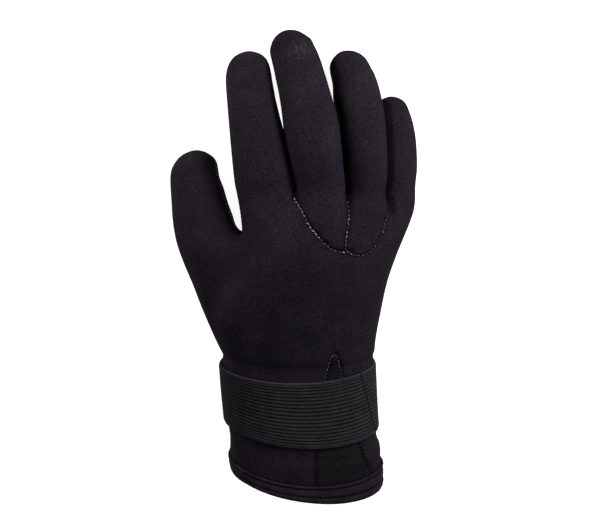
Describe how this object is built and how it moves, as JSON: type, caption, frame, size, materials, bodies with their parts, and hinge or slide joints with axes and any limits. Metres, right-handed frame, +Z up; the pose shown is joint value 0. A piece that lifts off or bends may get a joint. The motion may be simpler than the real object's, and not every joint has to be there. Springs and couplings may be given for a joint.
{
  "type": "neoprene glove",
  "caption": "Full-finger neoprene glove for a right hand, with a stretch gusset in the cuff and an elastic wrist strap, lying palm down.",
  "frame": {"origin": "centre of the glove's bounding box in plan, on the surface it lies on", "axes": "+X towards the little finger, +Y towards the fingertips, +Z up, out of the back of the hand"},
  "size_m": [0.1426, 0.2704, 0.0579],
  "materials": {
    "neoprene": "matte",
    "stretch_fabric": "matte",
    "binding": "matte",
    "elastic": "matte"
  },
  "bodies": {
    "root": {"back_panel": "neoprene", "palm_panel": "neoprene", "middle_finger_back": "neoprene", "ring_finger_back": "neoprene", "cuff_gusset": "stretch_fabric", "hem_band": "binding", "wrist_strap": "elastic", "strap_tab": "elastic"}
  },
  "joints": []
}
